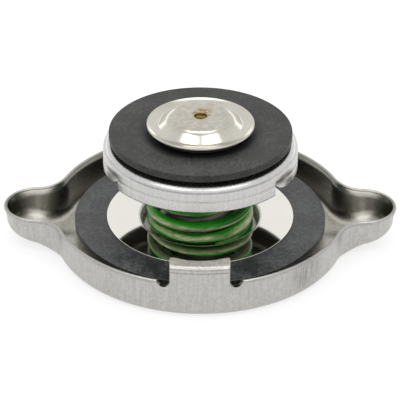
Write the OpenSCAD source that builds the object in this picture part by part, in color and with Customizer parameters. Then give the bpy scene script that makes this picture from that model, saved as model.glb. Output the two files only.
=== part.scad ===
// Radiator pressure cap, lying on its outer face with the valve upwards.
// The origin is the middle of the outer face, X runs along the two grip ears
// and Y through the two locking tabs. All lengths are millimetres.

/* [Cover shell] */
// Outside diameter of the rim
cover_d = 60.6; // [59:0.2:63]
// Height of the rim above the outer face
cover_h = 8.2; // [7.9:0.1:9.2]
// Thickness of the cover sheet
cover_t = 0.8; // [0.6:0.05:0.9]
// Outside radius between floor and wall
cover_corner = 2.1; // [1.6:0.1:2.4]
// How far the wall leans in from its top to the corner
wall_lean = 0.2; // [0.1:0.05:0.5]
// How far the rim flares outwards
rim_flare = 0.35; // [0.25:0.05:0.6]
// Height of the flared band under the rim
flare_h = 1.2; // [1:0.1:1.5]
// Diameter of the sunk panel in the outer face
panel_d = 41; // [36:0.5:44]
// Depth of the sunk panel
panel_sink = 0.7; // [0.65:0.05:0.9]

/* [Grip ears] */
// Span over both ears
ear_span = 80.2; // [79:0.2:84]
// Width of an ear
ear_w = 13.7; // [12.5:0.1:14.5]
// Radius of the hollow blend between ear and wall
ear_blend = 5.8; // [5:0.1:6.5]
// Height of the ear floor above the outer face, at the end of its slope
ear_rise = 2.6; // [1.6:0.1:3]
// Outside radius between floor and wall in an ear
ear_corner = 3.1; // [2.6:0.1:3.8]
// How much lower the ear rim is than the cover rim
ear_drop = 0.2; // [0:0.1:0.6]

/* [Locking tabs] */
// Width of a tab
tab_w = 11.7; // [10:0.1:14]
// Height of a tab above the rim
tab_rise = 3.2; // [2.6:0.1:3.8]
// How far a tab's face is set in from the wall's
tab_set = 0.1; // [0.1:0.05:0.2]
// How far the middle of a tab's end lies inside the wall's outer face
tab_reach = 3.15; // [2.6:0.05:3.5]
// Radius of the hollow in a tab's end
tab_hollow_r = 11.5; // [9:0.5:20]
// Outside radius of the tab's bend
tab_bend = 1; // [0.95:0.05:1.4]
// Radius on the corners of the tab's end
tab_round = 1; // [0.6:0.1:1.6]
// Width of the notch beside a tab at the rim
notch_w = 2.5; // [2.4:0.1:2.8]
// Depth of the notch below the rim
notch_depth = 1.4; // [1.3:0.05:1.7]
// Radius at the bottom of a notch
notch_round = 1.2; // [0.9:0.05:1.25]

/* [Upper seal] */
// Outside diameter of the rubber gasket
gasket_d = 51.2; // [46:0.2:51.4]
// Thickness of the gasket
gasket_t = 1.6; // [1.2:0.1:1.8]
// Height of the gasket's sealing face above the outer face
gasket_z = 5.5; // [5.3:0.1:6]
// Outside diameter of the spring diaphragm
diaphragm_d = 50; // [44:0.2:51]
// Thickness of the spring diaphragm
diaphragm_t = 0.3; // [0.2:0.05:0.4]
// Gap between the spring well and the diaphragm's slope
slope_gap = 0.6; // [0.4:0.1:1]
// Width of the diaphragm's slope
slope_w = 3.2; // [2.6:0.1:4]
// Outside diameter of the friction washer
washer_d = 20; // [16:0.5:24]
// Thickness of the friction washer
washer_t = 0.3; // [0.2:0.05:0.5]

/* [Gasket retainer] */
// Outside diameter of the polished retainer
retainer_d = 38.2; // [35:0.2:41]
// Thickness of the retainer
retainer_t = 0.4; // [0.3:0.05:0.5]
// How far the retainer stands above the gasket
retainer_proud = 0.2; // [0.1:0.05:0.25]
// Inside diameter of the spring well
well_d = 23.8; // [23.4:0.2:25]
// Radius on the edges of the well
well_round = 0.7; // [0.5:0.05:0.8]

/* [Centre rivet] */
// Diameter of the rivet shank
rivet_d = 5; // [4:0.2:6]
// Diameter of the flat head outside
rivet_head_d = 10; // [8:0.5:13]
// Thickness of the flat head
rivet_head_t = 0.55; // [0.4:0.05:0.6]
// Diameter of the clenched end inside
clench_d = 8; // [7:0.2:9]
// Height of the clenched end
clench_h = 1; // [0.7:0.1:1.1]

/* [Valve guide] */
// Outside diameter of the guide can
can_d = 13.8; // [13:0.2:15]
// Thickness of the guide can
can_t = 0.5; // [0.4:0.05:0.6]
// Outside diameter of the sliding bush
bush_d = 8.8; // [8.4:0.1:9.2]
// Wall of the sliding bush
bush_wall = 1; // [0.8:0.05:1.1]
// Diameter of the bush head
bush_head_d = 10.6; // [10:0.2:11]
// Thickness of the bush head
bush_head_t = 0.8; // [0.6:0.1:1]
// Diameter of the flared end of the bush
bush_flare_d = 11.4; // [11:0.1:11.7]
// Thickness of the flared end of the bush
bush_flare_t = 0.6; // [0.4:0.05:0.8]

/* [Pressure valve] */
// Distance between the two sealing faces
seat_depth = 19.8; // [19:0.1:21]
// Outside diameter of the lower seal
seal_d = 36.8; // [34:0.2:38]
// Inside diameter of the lower seal
seal_bore = 15.2; // [14.8:0.2:15.6]
// Thickness of the lower seal
seal_t = 1.5; // [1.2:0.1:2]
// Height of the raised lip round the seal's bore
lip_h = 0.8; // [0.5:0.05:1]
// Diameter of the raised lip at its foot
lip_d = 22.2; // [22:0.1:23]
// Width of the lip's flank
lip_flank = 1.3; // [0.8:0.1:1.8]
// Diameter of the valve cup
cup_d = 39.2; // [37.6:0.2:41]
// Thickness of the valve cup
cup_t = 0.6; // [0.45:0.05:0.8]
// Height of the valve cup
cup_h = 6.2; // [5.8:0.1:7]
// Diameter of the raised face under the seal
raised_d = 30.6; // [28:0.2:32]
// Height of the raised face above the shelf
raised_h = 0.9; // [0.6:0.05:1.1]
// Width of the slope between raised face and shelf
raised_slope = 1.1; // [0.8:0.1:1.4]
// Radius of the cup's shoulder
shoulder_r = 1.5; // [1.2:0.1:1.7]
// Depth of the shallow groove round the cup
groove_depth = 0.1; // [0.05:0.05:0.3]
// Height of the groove above the cup's open edge
groove_h = 2.1; // [1.9:0.1:2.3]
// Width of the groove
groove_w = 1.3; // [1:0.1:1.6]
// Number of slots in the skirt
slot_count = 3; // [2:1:6]
// Width of a slot
slot_w = 2.4; // [1.6:0.1:2.8]
// Height of a slot
slot_h = 2.5; // [2.3:0.1:3]
// Radius on the corners of a slot's mouth
slot_round = 1; // [0.5:0.1:1.2]
// Turn of the cup on the spring in degrees
cup_turn = -3.5; // [-30:0.5:30]
// Number of flow ports round the bush
port_count = 4; // [3:1:8]
// Diameter of a flow port
port_d = 1.6; // [1.2:0.1:1.8]
// How far the valve can be pressed down
valve_travel = 5; // [4:0.1:5.2]

/* [Pressure spring] */
// Diameter of the wire
wire_d = 2.1; // [1.8:0.05:2.15]
// Outside diameter of the coil
spring_d = 21.7; // [20.5:0.1:22.4]
// Number of turns
spring_turns = 6.3; // [5.5:0.1:6.3]
// Angle at which the wire starts, in degrees
spring_start = -72; // [-180:1:180]

/* [Vacuum valve] */
// Diameter of the vacuum disc over its brim
disc_d = 21.7; // [21:0.1:21.7]
// Thickness of the vacuum disc
disc_t = 0.4; // [0.3:0.05:0.5]
// Height of the dome above the brim's lowest ring
dome_h = 1.9; // [1.6:0.1:2.4]
// Diameter of the flat top of the dome
dome_flat_d = 11.2; // [10:0.2:11.6]
// Radius of the dome's shoulder
dome_round = 2; // [1.6:0.1:2.2]
// Diameter of the brim's lowest ring
valley_d = 18.2; // [17.8:0.1:18.6]
// Radius between the dome's flank and that ring
valley_round = 0.6; // [0.5:0.05:0.8]
// Rise of the brim at its edge
brim_rise = 0.4; // [0.2:0.05:0.6]
// Diameter of the brass stem
stem_d = 2.5; // [2:0.1:2.8]
// Diameter of the stem's collar under the dome
collar_d = 4.8; // [4.2:0.2:6]
// Height of the stem's collar
collar_h = 0.7; // [0.5:0.1:0.9]
// How deep the stem's end lies in the disc's hole
stem_sink = 0.3; // [0.1:0.05:0.35]
// Diameter of the stem's foot
foot_d = 4; // [3.6:0.1:4.6]
// Height of the stem's foot
foot_h = 0.6; // [0.4:0.1:0.8]
// Diameter of the keeper washer
keeper_d = 6; // [5.8:0.1:6.2]
// Thickness of the keeper washer
keeper_t = 0.6; // [0.4:0.1:0.8]
// Length of the vacuum spring
vacuum_length = 9.2; // [7:0.1:9.6]
// Diameter of the vacuum spring's wire
vacuum_wire_d = 0.45; // [0.35:0.05:0.5]
// Outside diameter of the vacuum spring
vacuum_spring_d = 5.9; // [5.2:0.1:6]
// Number of turns of the vacuum spring
vacuum_turns = 7; // [5:0.5:8]

/* [Clearances] */
// Radial clearance of pins and sliding sleeves
slide_fit = 0.05; // [0.03:0.01:0.08]
// Gap between faces that turn or close on each other
face_gap = 0.05; // [0.03:0.01:0.1]
// Gap between a sliding stop and its catch
stop_gap = 0.3; // [0.2:0.05:0.5]

/* [Hidden] */
$fn = 96;

// Segments of a full arc between floor and wall, of a wire's section and of one turn of wire
arc_steps = 6;
wire_sides = 10;
turn_steps = 20;
fine_wire_sides = 6;
fine_turn_steps = 14;
// Segments of the cover: round an ear's end, along a blend, along the wall, across the floor
ear_steps = 12;
blend_steps = 6;
wall_steps = 24;
floor_steps = 6;
// Segments over the rounded rim, and the angle to each side of its crown that they cover
rim_steps = 3;
rim_turn = 50;
// Width of the level border between the sunk panel and the lofted floor
panel_border = 2;
// Angle that a notch's arc turns up towards the rim, and that of the fillet at a tab's root
notch_turn = 65;
root_turn = 60;
// How far a tab reaches down into the wall that carries it
tab_lap = 0.4;
// Angle that the arcs at a slot's mouth cover
mouth_turn = 60;
// What a cutter runs past the face that it cuts
over = 1;

// Heights, from the outer face upwards
panel_top = panel_sink + cover_t;
washer_z = panel_top + face_gap;
diaphragm_z = washer_z + washer_t;
well_floor = diaphragm_z + diaphragm_t + retainer_t;
retainer_top = gasket_z + retainer_proud;
can_floor = well_floor + can_t;
seal_z = gasket_z + seat_depth;
raised_z = seal_z - seal_t;
shelf_z = raised_z - raised_h;
skirt_z = raised_z - cup_h;
spring_top = raised_z - cup_t;
lip_z = seal_z + lip_h;
valley_z = lip_z + face_gap + disc_t;
disc_top = valley_z + dome_h;
bush_top = raised_z + bush_head_t;
bush_foot = can_floor + clench_h + stop_gap + valve_travel;
can_top = bush_foot + bush_flare_t + stop_gap + can_t;
vacuum_seat = raised_z - cup_t;
keeper_z = vacuum_seat - vacuum_length - keeper_t;

// Height of the notches' bottom, and that at which their arcs meet a tab's sides
notch_floor = cover_h - notch_depth;
tab_floor = notch_floor + notch_round;

// Radii that several pieces share
wall_r = cover_d / 2 - rim_flare;
rivet_hole_r = rivet_d / 2 + slide_fit;
disc_hole_r = stem_d / 2 + slide_fit;
bush_bore_r = bush_d / 2 - bush_wall;
port_ring_r = (bush_head_d + seal_bore) / 4;

function unit(v) = v / norm(v);
function right_of(v) = [v[1], -v[0]];
function back_to_front(list) = [for (i = [len(list) - 1:-1:0]) list[i]];
function smooth(s) = s <= 0 ? 0 : s >= 1 ? 1 : s * s * (3 - 2 * s);
function arc(centre, r, from, to, steps = arc_steps) =
    [for (i = [0:steps]) let (a = from + (to - from) * i / steps) centre + r * [cos(a), sin(a)]];

// A path's points moved to its right by t, mitred so that a bent sheet keeps its thickness
function shifted(path, t) = [for (i = [0:len(path) - 1])
    let (before = i == 0 ? path[1] - path[0] : path[i] - path[i - 1],
         after = i == len(path) - 1 ? before : path[i + 1] - path[i],
         normal_before = right_of(unit(before)),
         mitre = unit(normal_before + right_of(unit(after))))
    path[i] + mitre * t / (mitre * normal_before)];

// Stamped sheet: a profile in radius and height, thickened to its right and turned round Z
module stamped(path, t) {
    rotate_extrude()
        polygon(concat(path, back_to_front(shifted(path, t))));
}

// Washer or disc with an optional bore
module ring(d, bore_r, z, h) {
    translate([0, 0, z])
        difference() {
            cylinder(h = h, d = d);
            if (bore_r > 0)
                translate([0, 0, -over])
                    cylinder(h = h + 2 * over, r = bore_r);
        }
}

// Skin over equal loops of points in order, closed at both ends
module loft(loops) {
    n = len(loops[0]);
    last = (len(loops) - 1) * n;
    sides = [for (k = [0:len(loops) - 2], i = [0:n - 1])
        let (a = k * n + i, b = k * n + (i + 1) % n, c = b + n, d = a + n)
        each [[a, d, c], [a, c, b]]];
    caps = [[for (i = [0:n - 1]) i], [for (i = [n - 1:-1:0]) last + i]];
    polyhedron(points = [for (loop = loops) each loop], faces = concat(sides, caps), convexity = 10);
}

// Height of a coil's centre after n turns: one closed turn at each end, easing to an even pitch
function coil_rise(n, turns, closed, pitch) =
    let (m = min(n, turns - n), half = turns / 2)
    n > half ? coil_rise(half, turns, closed, pitch) * 2 - coil_rise(m, turns, closed, pitch)
    : m <= 1 ? closed * m
    : m <= 2 ? closed * m + (pitch - closed) * (m - 1) ^ 2 / 2
    : closed * m + (pitch - closed) * (m - 1.5);

// Right-hand coil spring between two heights, with its wire's end at the given angle
module coil_spring(d, wire, turns, z0, z1, start, sides, steps) {
    r = (d - wire) / 2;
    closed = wire + face_gap;
    rise = z1 - z0 - wire - 2 * face_gap;
    pitch = (rise - 3 * closed) / (turns - 3);
    count = ceil(turns * steps);
    loft([for (k = [0:count])
        let (n = turns * k / count, a = start + 360 * n,
             z = z0 + face_gap + wire / 2 + coil_rise(n, turns, closed, pitch))
        [for (i = [0:sides - 1]) let (b = 360 * i / sides, across = r - wire / 2 * cos(b))
            [across * cos(a), across * sin(a), z + wire / 2 * sin(b)]]]);
}

// Cover outline as stations of arcs that meet smoothly, each [centre, radius, side, angle]:
// side 1 bulges outwards, side -1 is the hollow blend beside an ear
ear_r = ear_w / 2;
ear_x = ear_span / 2 - ear_r;
blend_reach = cover_d / 2 + ear_blend;
blend_x = (ear_x ^ 2 + blend_reach ^ 2 - (ear_r + ear_blend) ^ 2) / (2 * ear_x);
blend_y = sqrt(blend_reach ^ 2 - blend_x ^ 2);
blend_a = atan2(blend_y, blend_x);
ear_turn = atan2(blend_y, blend_x - ear_x);
function stations(centre, r, side, from, to, steps) =
    [for (i = [0:steps - 1]) [centre, r, side, from + (to - from) * i / steps]];
outline = concat(
    stations([ear_x, 0], ear_r, 1, -ear_turn, ear_turn, ear_steps),
    stations([blend_x, blend_y], ear_blend, -1, 180 + ear_turn, 180 + blend_a, blend_steps),
    stations([0, 0], cover_d / 2, 1, blend_a, 180 - blend_a, wall_steps),
    stations([-blend_x, blend_y], ear_blend, -1, -blend_a, -ear_turn, blend_steps),
    stations([-ear_x, 0], ear_r, 1, 180 - ear_turn, 180 + ear_turn, ear_steps),
    stations([-blend_x, -blend_y], ear_blend, -1, ear_turn, blend_a, blend_steps),
    stations([0, 0], cover_d / 2, 1, 180 + blend_a, 360 - blend_a, wall_steps),
    stations([blend_x, -blend_y], ear_blend, -1, 180 - blend_a, 180 - ear_turn, blend_steps));
function outline_point(s, inset) = s[0] + (s[1] - s[2] * inset) * [cos(s[3]), sin(s[3])];

// How much a station belongs to an ear: 0 on the round wall, 1 at the ear's end
ear_from = cover_d / 2 * cos(blend_a);
function ear_share(s) = smooth((abs(outline_point(s, 0)[0]) - ear_from) / (ear_x - ear_from));

// Height of the outer face at a distance along X: level in the middle, easing up into the ears
ramp_from = cover_d / 2 - rim_flare - wall_lean - cover_corner;
ramp_to = ear_span / 2;
function floor_rise(x) = ear_rise * smooth((abs(x) - ramp_from) / (ramp_to - ramp_from));

// Wall section as [inset from the rim, height], from the floor outside over the rim to the floor inside
function wall_section(h, lift, corner) =
    let (top = h - flare_h, foot = rim_flare + wall_lean, lip = cover_t / 2)
    concat(
        arc([foot + corner, lift + corner], corner, 270, 180),
        [for (s = [0, 0.5, 1]) [rim_flare * (1 - s * s), top + (flare_h - lip) * s]],
        arc([lip, h - lip], lip, 90 + rim_turn, 90 - rim_turn, rim_steps),
        [for (s = [1, 0.5, 0]) [rim_flare * (1 - s * s) + cover_t, top + (flare_h - lip) * s]],
        arc([foot + corner, lift + corner], corner - cover_t, 180, 270));
sections = [for (s = outline)
    let (share = ear_share(s), corner = cover_corner + (ear_corner - cover_corner) * share,
         foot = outline_point(s, rim_flare + wall_lean + corner))
    wall_section(cover_h - ear_drop * share, floor_rise(foot[0]), corner)];
function wall_loop(k) = [for (i = [0:len(outline) - 1])
    let (p = sections[i][k], xy = outline_point(outline[i], p[0]))
    [xy[0], xy[1], p[1]]];

// Floor loops between the wall's foot and the round middle, for the outer or the inner skin
floor_r = panel_d / 2 + panel_border;
floor_shares = [for (i = [0:floor_steps - 1]) i / floor_steps];
function floor_loop(foot, z, share) = [for (p = foot)
    let (flat = [p[0], p[1]], xy = floor_r * unit(flat) * (1 - share) + flat * share)
    [xy[0], xy[1], z + floor_rise(xy[0])]];

module cover_dish() {
    loops = [for (k = [0:len(sections[0]) - 1]) wall_loop(k)];
    inside = loops[len(loops) - 1];
    loft(concat(
        [for (share = floor_shares) floor_loop(loops[0], 0, share)],
        loops,
        [for (share = back_to_front(floor_shares)) floor_loop(inside, cover_t, share)]));
}

// Face seen along Y, given by its right-hand side and mirrored, as a block from the axis to beyond the rim
module across_wall(side) {
    rotate([90, 0, 0])
        linear_extrude(height = cover_d)
            polygon(concat(side, [for (p = back_to_front(side)) [-p[0], p[1]]]));
}

// Window in the rim: level under the tab, with a round-bottomed notch at each side
module tab_window() {
    half = tab_w / 2;
    across_wall(concat([[half + notch_w, cover_h + over], [half + notch_w, cover_h]],
                       arc([half + notch_round, tab_floor], notch_round, 270 + notch_turn, 270)));
}

// Distance of a tab's hollowed end from the cap's axis, at x across the tab
function tab_end(x) = wall_r - tab_reach - tab_hollow_r + sqrt(tab_hollow_r ^ 2 - x ^ 2);

// Tab bent inwards from the wall, on the -Y side; the fillets at its root stop short of the wall
// and run on straight, so that they enter it at an angle
module tab() {
    top = cover_h + tab_rise;
    corner_x = tab_w / 2 - tab_round;
    face_r = wall_r - tab_set;
    bend = [face_r - tab_bend, top - tab_bend];
    inner = concat([[face_r - cover_t, notch_floor - tab_lap]],
                   arc(bend, tab_bend - cover_t, 0, 90),
                   [[tab_end(tab_w / 2), top - cover_t]]);
    fillet = arc([tab_w / 2 + notch_round, tab_floor], notch_round, 180, 180 + root_turn);
    root = fillet[arc_steps] + (fillet[arc_steps][1] - notch_floor + tab_lap) * [tan(root_turn), -1];
    difference() {
        intersection() {
            stamped(inner, cover_t);
            across_wall(concat([[tab_w / 2, top + over]], fillet, [root]));
        }
        translate([0, tab_hollow_r - tab_end(0), top - tab_bend])
            cylinder(h = tab_bend + over, r = tab_hollow_r);
        for (side = [-1, 1])
            translate([side * corner_x, -tab_end(corner_x) - tab_round, top - tab_bend])
                difference() {
                    translate([side > 0 ? 0 : -2 * tab_round, 0, 0])
                        cube([2 * tab_round, 2 * tab_round, tab_bend + over]);
                    translate([0, 0, -over])
                        cylinder(h = tab_bend + 3 * over, r = tab_round);
                }
    }
}

module cover_shell() {
    edge = panel_d / 2;
    color("lightgray") {
        difference() {
            union() {
                cover_dish();
                rotate_extrude()
                    polygon([[0, cover_t / 2], [edge + panel_sink, cover_t / 2],
                             [edge + panel_sink, cover_t], [edge, panel_top], [0, panel_top]]);
            }
            rotate_extrude()
                polygon([[0, -over], [edge, -over], [edge, 0], [edge - panel_sink, panel_sink],
                         [0, panel_sink]]);
            translate([0, 0, -over])
                cylinder(h = panel_top + 2 * over, r = rivet_hole_r);
            for (turn = [0, 180])
                rotate([0, 0, turn])
                    tab_window();
        }
        for (turn = [0, 180])
            rotate([0, 0, turn])
                tab();
    }
}

module friction_washer() {
    color("dimgray")
        ring(washer_d, rivet_hole_r, washer_z, washer_t);
}

// Dished disc that presses the gasket on the filler neck
module spring_diaphragm() {
    low = diaphragm_z + diaphragm_t;
    high = gasket_z - gasket_t;
    from = well_d / 2 + retainer_t + slope_gap;
    color("goldenrod")
        stamped(concat([[rivet_hole_r, low]],
                       [for (i = [0:arc_steps]) let (s = i / arc_steps)
                           [from + slope_w * s, low + (high - low) * smooth(s)]],
                       [[diaphragm_d / 2, high]]), diaphragm_t);
}

// Flat rubber ring, pressed in by the retainer over its inner part
module upper_gasket() {
    seat = retainer_top - retainer_t;
    bore_r = well_d / 2 + well_round + face_gap;
    color([0.16, 0.16, 0.17])
        difference() {
            ring(gasket_d, bore_r, gasket_z - gasket_t, gasket_t);
            translate([0, 0, seat])
                cylinder(h = gasket_t, r = retainer_d / 2 + slide_fit);
        }
}

module gasket_retainer() {
    r = well_d / 2;
    color("white")
        stamped(concat([[rivet_hole_r, well_floor]],
                       arc([r - well_round, well_floor + well_round], well_round, -90, 0),
                       arc([r + well_round, retainer_top - well_round], well_round, 180, 90),
                       [[retainer_d / 2, retainer_top]]), retainer_t);
}

// Can whose turned-in mouth catches the flared end of the bush
module guide_can() {
    r = can_d / 2 - can_t;
    color("slategray")
        stamped(concat([[rivet_hole_r, can_floor]],
                       arc([r - can_t, can_floor + can_t], can_t, -90, 0),
                       arc([r - can_t, can_top - 2 * can_t], can_t, 0, 90),
                       [[bush_d / 2 + slide_fit, can_top - can_t]]), can_t);
}

module centre_rivet() {
    head_top = panel_sink - face_gap;
    color("silver") {
        ring(rivet_head_d, 0, head_top - rivet_head_t, rivet_head_t);
        ring(rivet_d, 0, head_top - rivet_head_t / 2, can_floor - head_top + rivet_head_t);
        ring(clench_d, 0, can_floor, clench_h);
    }
}

module pressure_spring() {
    color("limegreen")
        coil_spring(spring_d, wire_d, spring_turns, well_floor, spring_top, spring_start,
                    wire_sides, turn_steps);
}

// Slot in the skirt with a round top; the arcs at its mouth stop short of the skirt's edge
// and run on straight, so that they cross the edge at an angle
module skirt_slot() {
    half = slot_w / 2;
    mouth = half + slot_round;
    side = concat(arc([0, slot_h - half], half, 90, 0),
                  arc([mouth, slot_round], slot_round, 180, 180 + mouth_turn),
                  [[mouth, slot_round * (1 - 1 / sin(mouth_turn))]]);
    rotate([90, 0, 0])
        linear_extrude(height = cup_d)
            polygon(concat(side, [for (i = [len(side) - 1:-1:1]) [-side[i][0], side[i][1]]]));
}

// Drawn cup: raised face under the seal, shelf, round shoulder and slotted skirt
module valve_cup() {
    r = cup_d / 2;
    slope_from = raised_d / 2;
    path = concat(
        [[bush_d / 2 + slide_fit, raised_z]],
        [for (i = [0:arc_steps]) let (s = i / arc_steps)
            [slope_from + raised_slope * s, raised_z - raised_h * smooth(s)]],
        arc([r - shoulder_r, shelf_z - shoulder_r], shoulder_r, 90, 0),
        [for (s = [-1, -0.5, 0, 0.5, 1])
            [r - groove_depth * (1 - smooth(abs(s))), skirt_z + groove_h - s * groove_w / 2]],
        [[r, skirt_z]]);
    color("gainsboro")
        difference() {
            stamped(path, cup_t);
            for (i = [0:slot_count - 1])
                rotate([0, 0, cup_turn + 180 + 360 * i / slot_count])
                    translate([0, 0, skirt_z])
                        skirt_slot();
            for (i = [0:port_count - 1])
                rotate([0, 0, 360 * i / port_count])
                    translate([port_ring_r, 0, raised_z - cup_t - over])
                        cylinder(h = cup_t + 2 * over, d = port_d);
        }
}

// Headed bush under the seal: it slides in the can's mouth and its flared end stops there
module guide_bush() {
    color("silver")
        rotate_extrude()
            polygon([[disc_hole_r, bush_top], [bush_head_d / 2, bush_top], [bush_head_d / 2, raised_z],
                     [bush_d / 2, raised_z], [bush_d / 2, bush_foot + bush_flare_t],
                     [bush_flare_d / 2, bush_foot + bush_flare_t], [bush_flare_d / 2, bush_foot],
                     [bush_bore_r, bush_foot], [bush_bore_r, vacuum_seat], [disc_hole_r, vacuum_seat]]);
}

// Rubber washer with a raised lip that the vacuum disc closes on
module lower_seal() {
    bore_r = seal_bore / 2;
    lip_r = lip_d / 2;
    color([0.2, 0.2, 0.21])
        rotate_extrude()
            polygon([[bore_r, raised_z], [seal_d / 2, raised_z], [seal_d / 2, seal_z], [lip_r, seal_z],
                     [lip_r - lip_flank, lip_z], [bore_r, lip_z]]);
}

// Domed disc with a raised brim, carried on the brass stem; its straight flank touches the arc of
// the shoulder and that of the lowest ring
module vacuum_disc() {
    valley_r = valley_d / 2;
    brim_w = disc_d / 2 - valley_r;
    edge_r = disc_d / 2 - disc_t * sin(atan(2 * brim_rise / brim_w));
    shoulder = [dome_flat_d / 2, disc_top - dome_round];
    hollow = [valley_r, valley_z + valley_round];
    apart = hollow - shoulder;
    flank = asin((dome_round + valley_round) / norm(apart)) - atan2(apart[1], apart[0]);
    brim = [for (i = [1:arc_steps]) let (s = i / arc_steps)
        [valley_r + (edge_r - valley_r) * s, valley_z + brim_rise * s * s]];
    color("white")
        stamped(concat([[disc_hole_r, disc_top]],
                       arc(shoulder, dome_round, 90, 90 - flank),
                       arc(hollow, valley_round, 270 - flank, 270),
                       brim), disc_t);
}

module vacuum_stem() {
    collar_top = disc_top - disc_t;
    color("peru") {
        ring(foot_d, 0, keeper_z - foot_h, foot_h);
        ring(stem_d, 0, keeper_z - foot_h / 2, disc_top - stem_sink - keeper_z + foot_h / 2);
        ring(collar_d, 0, collar_top - collar_h, collar_h);
    }
}

module vacuum_keeper() {
    color("silver")
        ring(keeper_d, stem_d / 2 + slide_fit, keeper_z, keeper_t);
}

module vacuum_spring() {
    color("darkgray")
        coil_spring(vacuum_spring_d, vacuum_wire_d, vacuum_turns, keeper_z + keeper_t, vacuum_seat, 0,
                    fine_wire_sides, fine_turn_steps);
}

cover_shell();
friction_washer();
spring_diaphragm();
upper_gasket();
gasket_retainer();
guide_can();
centre_rivet();
pressure_spring();
valve_cup();
guide_bush();
lower_seal();
vacuum_disc();
vacuum_stem();
vacuum_keeper();
vacuum_spring();
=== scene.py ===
import math

import bmesh
import bpy
import numpy as np
from mathutils import Matrix


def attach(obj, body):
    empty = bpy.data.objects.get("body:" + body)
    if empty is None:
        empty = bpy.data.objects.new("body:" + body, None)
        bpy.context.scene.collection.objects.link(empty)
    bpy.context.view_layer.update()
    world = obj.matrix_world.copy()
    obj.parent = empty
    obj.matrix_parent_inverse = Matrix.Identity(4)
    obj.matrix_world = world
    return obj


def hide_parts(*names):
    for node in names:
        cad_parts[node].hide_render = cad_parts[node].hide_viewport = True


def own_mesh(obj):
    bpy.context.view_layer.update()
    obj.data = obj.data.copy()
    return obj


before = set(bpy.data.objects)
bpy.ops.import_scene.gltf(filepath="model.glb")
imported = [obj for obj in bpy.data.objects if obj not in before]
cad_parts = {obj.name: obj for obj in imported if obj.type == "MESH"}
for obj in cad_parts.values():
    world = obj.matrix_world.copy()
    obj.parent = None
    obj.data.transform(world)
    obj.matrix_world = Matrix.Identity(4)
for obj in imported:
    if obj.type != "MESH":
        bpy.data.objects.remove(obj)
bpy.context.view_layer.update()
print("frame loaded:", len(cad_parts), "nodes")

mm = 0.001
roundStations = 224    # points round a turned piece


# Surfaces as arrays

def smoothStep(s):
    # 3s^2 - 2s^3, held at 0 and 1 outside that span
    s = np.clip(s, 0, 1)
    return s * s * (3 - 2 * s)


def arcPath(centre, radius, start, end, count):
    # centre + radius (cos a, sin a), with a going evenly from start to end in degrees
    a = np.radians(np.linspace(start, end, count))
    return np.stack([centre[0] + radius * np.cos(a), centre[1] + radius * np.sin(a)], 1)


def beside(path, distance):
    # each point of a path moved by distance along the path's right-hand normal
    along = np.gradient(path, axis=0)
    along /= np.linalg.norm(along, axis=1, keepdims=True)
    return path + distance * np.stack([along[:, 1], -along[:, 0]], 1)


def softLoop(corners, radius, count=6, hold=0.03, most=0.4, holdShare=0.2):
    # closed outline whose corner P gives way to the curve (1-t)^2 A + 2t(1-t) P + t^2 B, with A and B a
    # radius away along its two sides, at most a share of the shorter one, and a holding point beyond each
    p = np.array(corners, float)
    back = np.roll(p, 1, 0) - p
    ahead = np.roll(p, -1, 0) - p
    backLength = np.linalg.norm(back, axis=1, keepdims=True)
    aheadLength = np.linalg.norm(ahead, axis=1, keepdims=True)
    room = most * np.minimum(backLength, aheadLength)
    reach = np.minimum(np.broadcast_to(radius, len(p))[:, None], room)
    back /= backLength
    ahead /= aheadLength
    t = np.linspace(0, 1, count)[:, None, None]
    curve = (1 - t) ** 2 * (p + back * reach) + 2 * t * (1 - t) * p + t ** 2 * (p + ahead * reach)
    held = reach + np.minimum(hold, reach * holdShare)
    rows = np.concatenate([(p + back * held)[None], curve, (p + ahead * held)[None]])
    return rows.transpose(1, 0, 2).reshape(-1, 2)


def sheetLoop(path, thickness, lip=0.12):
    # outline of a bent sheet: the path, its copy on the right, and a soft edge at both ends
    other = beside(path, thickness)
    ends = []
    last = (path[-1], other[-1], path[-2] - path[-1])
    first = (other[0], path[0], path[1] - path[0])
    for a, b, inward in (last, first):
        out = -inward / np.linalg.norm(inward) * lip
        phi = np.linspace(0, np.pi, 9)[1:-1, None]
        ends.append((a + b) / 2 + (a - b) / 2 * np.cos(phi) + out * np.sin(phi))
    return np.concatenate([path, ends[0], other[::-1], ends[1]])


def named(s, pairs):
    # corners of an outline, from pairs of names that stand for a radius and a height in a piece's settings
    return [(s[r], s[z]) for r, z in (pair.split() for pair in pairs.split(", "))]


def turned(loop, stations=roundStations):
    # closed (r, z) outline carried round Z: (r cos a, r sin a, z)
    loop = np.concatenate([loop, loop[:1]])
    a = np.linspace(0, 2 * np.pi, stations + 1)[:, None] + np.pi / 2
    r = loop[None, :, 0]
    return np.stack([r * np.cos(a), r * np.sin(a), loop[None, :, 1] + 0 * a], -1)


def lengths(grid, axis):
    # mean distance travelled over the grid along one of its two ways
    step = np.linalg.norm(np.diff(grid, axis=axis), axis=2).mean(1 - axis)
    return np.concatenate([[0], np.cumsum(step)])


def enclosed(points, quads):
    # six times the volume inside a closed skin: sum of a . (b x c) over its triangles
    a, b, c, d = (points[quads[:, k]] for k in range(4))
    return np.sum(a * np.cross(b, c)) + np.sum(a * np.cross(c, d))


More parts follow.
